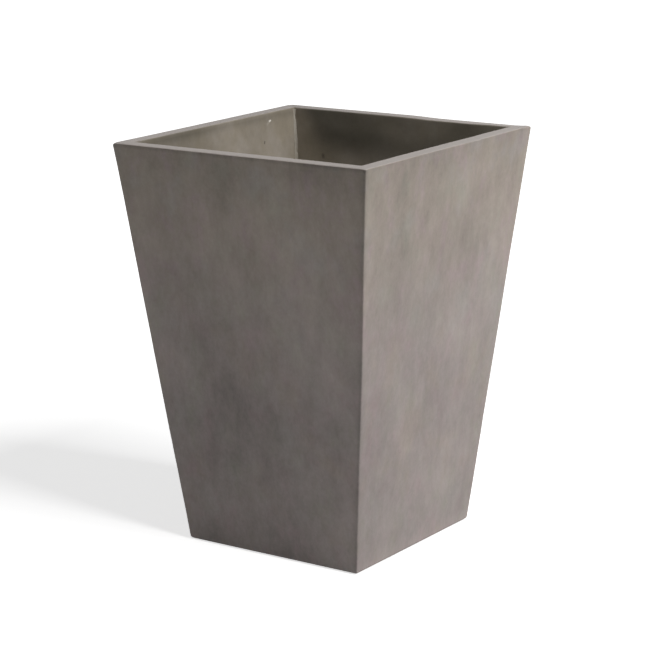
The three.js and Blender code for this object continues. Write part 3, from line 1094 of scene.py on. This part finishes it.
# %% The finish of the walls
def wall_finish():
    """The coat, then the rim past its outer edge, then the bare inside past its inner edge."""
    material, tree = new_finish("stone_coat")
    past = noted(tree, "past_rim_edge")
    mottle = noise(tree, 0.12, stretch=(1, 1, 1.25), detail=2, roughness=0.6, seed=5)
    grain = noise(tree, 0.004, detail=3, roughness=0.8, seed=7)
    colour = wiped_coat(tree, mottle, grain)
    on_rim = remap(tree, past, -RIM_EDGE, RIM_EDGE)
    colour = mix(tree, on_rim, colour, rubbed_rim(tree, mottle, grain))
    inside = remap(tree, past, WALL - COAT_ENDS, WALL)
    colour = mix(tree, inside, colour, bare_inside(tree, grain))
    fine = noise(tree, 0.0012, detail=3, roughness=0.6, seed=17)
    lumps = noise(tree, 0.009, detail=3, roughness=0.5, seed=19)
    slope = bump(tree, fine, depth=0.00012, strength=0.5)
    slope = bump(tree, lumps, depth=0.0003, strength=0.25, Normal=slope)
    roughness = remap(tree, mottle, 0.3, 0.7, to_low=0.68, to_high=0.8)
    return shade(material, colour, roughness, slope, Specular_IOR_Level=MATT)


stone_coat = wall_finish()
for wall in walls:
    wall.data.materials.append(stone_coat)

# %% [markdown]
# ## Laminate, resin and rubber
#
# The floor is the same bare laminate, seen with its chopped fibres, and never rolled smooth.
# The beads are clean resin with some dirt rubbed into it. The bung and the pads are black
# rubber that holds a little dust.

# %% The finishes of the floor and the beads
RESIN = (0.36, 0.33, 0.283)
RESIN_DIRT = (0.285, 0.257, 0.21)


def laminate_finish():
    """Stained laminate under short, paler fibres that lie across it and stand up a little."""
    material, tree = new_finish("bare_laminate")
    stains = noise(tree, 0.05, detail=5, roughness=0.6, seed=31)
    fibres = noise(tree, 0.004, stretch=(6, 1, 1), detail=2, roughness=0.5, seed=33, distortion=1.5)
    colour = mix(tree, remap(tree, stains, 0.3, 0.7, to_low=0.5, to_high=0), BARE, BARE_STAINED_AND_SHADED)
    colour = mix(tree, remap(tree, fibres, 0.55, 0.75, to_high=0.5), colour, BARE_GREY)
    roughness = remap(tree, stains, 0.2, 0.8, to_low=0.55, to_high=0.8)
    return shade(material, colour, roughness, bump(tree, fibres, depth=0.0003, strength=0.5))


def resin_finish():
    """Pale resin with dirt in patches, rougher where it is dirty, with small lumps."""
    material, tree = new_finish("hand_laid_resin")
    dirt = noise(tree, 0.012, stretch=(1, 1, 2), detail=4, roughness=0.6, seed=41)
    colour = mix(tree, remap(tree, dirt, 0.35, 0.7), RESIN_DIRT, RESIN)
    roughness = remap(tree, dirt, 0.2, 0.8, to_low=0.6, to_high=0.42)
    lumps = noise(tree, 0.003, detail=3, seed=43)
    return shade(material, colour, roughness, bump(tree, lumps, depth=0.0003, strength=0.5))


floor_piece.data.materials.append(laminate_finish())
resin = resin_finish()
for bead in corner_beads + floor_beads:
    bead.data.materials.append(resin)

# %% The finish of the rubber
RUBBER = (0.017, 0.017, 0.018)
RUBBER_DUST = (0.06, 0.057, 0.052)


def rubber_finish():
    """Black rubber with dust in patches, rougher where it is dusty, with a fine moulded grain."""
    material, tree = new_finish("matt_rubber")
    dust = noise(tree, 0.008, detail=4, roughness=0.65, seed=51)
    colour = mix(tree, remap(tree, dust, 0.5, 0.85, to_high=0.6), RUBBER, RUBBER_DUST)
    roughness = remap(tree, dust, 0.3, 0.8, to_low=0.6, to_high=0.85)
    moulded = noise(tree, 0.0009, detail=2, seed=53)
    return shade(material, colour, roughness, bump(tree, moulded, depth=0.0001, strength=0.5))


rubber = rubber_finish()
for piece in [bung, *pads]:
    piece.data.materials.append(rubber)

# %% [markdown]
# ## The studio
#
# The planter stands on a white sweep with one large soft light high on its right. A floor that
# is bright enough to look white would throw too much light up at the object. So rays from the
# camera see a paler floor than the object does: mostly a plain white glow, with enough of the
# lit surface mixed in to keep the object's shadow. Far from the planter the glow rises to pure
# white, so the floor ends nowhere.

# %% What the camera sees, and what the object sees
FLOOR_WHITE = 0.70
FLOOR_GLOW = 0.67
FLOOR_SHADE = 0.99
print(f"the object's light meets a floor of {FLOOR_WHITE}; the camera sees one that glows {FLOOR_GLOW}")


def seen_directly(tree):
    """1 for rays from the camera, off a glossy surface or through a clear one, and 0 for the rest."""
    path = add(tree, "LightPath")
    most = path.outputs["Is Camera Ray"]
    for name in ("Is Glossy Ray", "Is Transmission Ray"):
        most = reckon(tree, "MAXIMUM", most, path.outputs[name])
    return most


def for_the_camera(tree, hidden, seen):
    """The seen shader for the rays that see directly, and the hidden one for the object's light."""
    choice = add(tree, "MixShader")
    for socket, value in zip(choice.inputs, (seen_directly(tree), hidden, seen)):
        put(tree, socket, value)
    return choice.outputs[0]


# %% The floor of the studio
STUDIO_FLOOR_SIZE = 60.0
# The glow rises to pure white between these two distances from the planter.
SHADE_REACH = (0.9, 1.8)


def studio_floor_finish():
    """Plain white for the object's light. For the camera, a lit surface plus the rising glow."""
    material = bpy.data.materials.new("studio_floor")
    material.use_nodes = True
    tree = material.node_tree
    tree.nodes.clear()
    plain = add(tree, "BsdfDiffuse", Color=opaque([FLOOR_WHITE] * 3))
    pale = add(tree, "BsdfDiffuse", Color=opaque([FLOOR_SHADE] * 3))
    distance = add(tree, "VectorMath", {"operation": "LENGTH"})
    put(tree, distance.inputs[0], add(tree, "TexCoord").outputs["Object"])
    start, end = SHADE_REACH
    ranges = {"From_Min": start, "From_Max": end, "To_Min": FLOOR_GLOW}
    rise = add(tree, "MapRange", Value=distance.outputs["Value"], **ranges)
    glow = add(tree, "Emission", Strength=rise.outputs["Result"])
    white = add(tree, "AddShader")
    put(tree, white.inputs[0], pale.outputs[0])
    put(tree, white.inputs[1], glow.outputs[0])
    surface = for_the_camera(tree, plain.outputs[0], white.outputs[0])
    add(tree, "OutputMaterial", Surface=surface)
    return material


stage_mesh = bpy.data.meshes.new("studio_floor")
reach = STUDIO_FLOOR_SIZE / 2
stage_corners = [(-reach, -reach, 0), (reach, -reach, 0), (reach, reach, 0), (-reach, reach, 0)]
stage_mesh.from_pydata(stage_corners, [], [(0, 1, 2, 3)])
stage_mesh.materials.append(studio_floor_finish())
studio_floor = bpy.data.objects.new("studio_floor", stage_mesh)
bpy.context.scene.collection.objects.link(studio_floor)
print(f"the studio's floor is {STUDIO_FLOOR_SIZE:.0f} m wide")

# %% [markdown]
# The rest of the light comes from the studio's white walls, so the world is brightest level with
# the planter and falls off with height. The camera sees plain white there.

# %% The world
SIDE_LIGHT = 0.62
TOP_LIGHT = 0.11
# From 28 degrees above the floor, the light is as low as overhead.
SIDE_LIGHT_ENDS = math.sin(math.radians(28))

world = bpy.data.worlds.new("studio")
bpy.context.scene.world = world
world.use_nodes = True
air = world.node_tree
air.nodes.clear()
direction = add(air, "SeparateXYZ", Vector=add(air, "TexCoord").outputs["Generated"])
ranges = {"From_Max": SIDE_LIGHT_ENDS, "To_Min": SIDE_LIGHT, "To_Max": TOP_LIGHT}
fade = add(air, "MapRange", Value=direction.outputs["Z"], **ranges)
sky = add(air, "Background", Strength=fade.outputs["Result"])
backdrop = add(air, "Background", Color=(1, 1, 1, 1), Strength=1.0)
surface = for_the_camera(air, sky.outputs[0], backdrop.outputs[0])
add(air, "OutputWorld", Surface=surface)
print(f"the world's light falls from {SIDE_LIGHT} at the side to {TOP_LIGHT} overhead")

# %% The soft light on the right
KEY_AZIMUTH = math.radians(87)
KEY_ELEVATION = math.radians(45.6)
KEY_DISTANCE = 3.46
KEY_WIDTH = 1.87
KEY_HEIGHT = 1.47
KEY_LEVEL = 1.0


def from_angles(azimuth, elevation):
    """The unit vector that is turned from the front towards the right, and raised: two angles."""
    flat = math.cos(elevation)
    return Vector((math.sin(azimuth) * flat, -math.cos(azimuth) * flat, math.sin(elevation)))


key_data = bpy.data.lights.new("soft_light", "AREA")
key_data.shape = "RECTANGLE"
key_data.size = KEY_WIDTH
key_data.size_y = KEY_HEIGHT
# A surface that faces a soft lamp of power P at distance d is lit to about P / (pi d)^2.
key_data.energy = KEY_LEVEL * (math.pi * KEY_DISTANCE) ** 2
key_direction = from_angles(KEY_AZIMUTH, KEY_ELEVATION)
key = bpy.data.objects.new("soft_light", key_data)
bpy.context.scene.collection.objects.link(key)
key.location = Vector((0, 0, RIM_Z / 2)) + key_direction * KEY_DISTANCE
key.rotation_euler = key_direction.to_track_quat("Z", "Y").to_euler()
print(f"the light hangs {key.location.z:.2f} m above the floor")

# %% [markdown]
# ## The camera
#
# The photograph was taken from the planter's near right corner, a little above it, with a long
# lens. The camera's place follows from its two angles, a slight roll and its distance.

# %% The camera
FOCAL_PIXELS = 2338.24
PICTURE_PIXELS = 650
AZIMUTH = math.radians(35.043)
ELEVATION = math.radians(13.655)
ROLL = math.radians(-0.784)
DISTANCE = 3.2095
ASIDE = -0.00335
ABOVE = -0.00561
LOOK_AT = Vector((0, 0, 0.3))

towards = from_angles(AZIMUTH, ELEVATION)
level_right = Vector((math.cos(AZIMUTH), math.sin(AZIMUTH), 0))
level_up = towards.cross(level_right)
right = level_right * math.cos(ROLL) + level_up * math.sin(ROLL)
up = level_up * math.cos(ROLL) - level_right * math.sin(ROLL)
camera_data = bpy.data.cameras.new("camera")
camera_data.sensor_width = 36.0
camera_data.lens = FOCAL_PIXELS / PICTURE_PIXELS * camera_data.sensor_width
camera_data.clip_end = 100
camera = bpy.data.objects.new("camera", camera_data)
bpy.context.scene.collection.objects.link(camera)
stands_at = LOOK_AT + towards * DISTANCE + right * ASIDE + up * ABOVE
faces = Matrix((right, up, towards)).transposed().to_4x4()
camera.matrix_world = Matrix.Translation(stands_at) @ faces
bpy.context.scene.camera = camera
bpy.context.scene.view_settings.view_transform = "Standard"
print(f"the camera stands {stands_at.length:.2f} m away, with a lens of {camera_data.lens:.0f} mm")
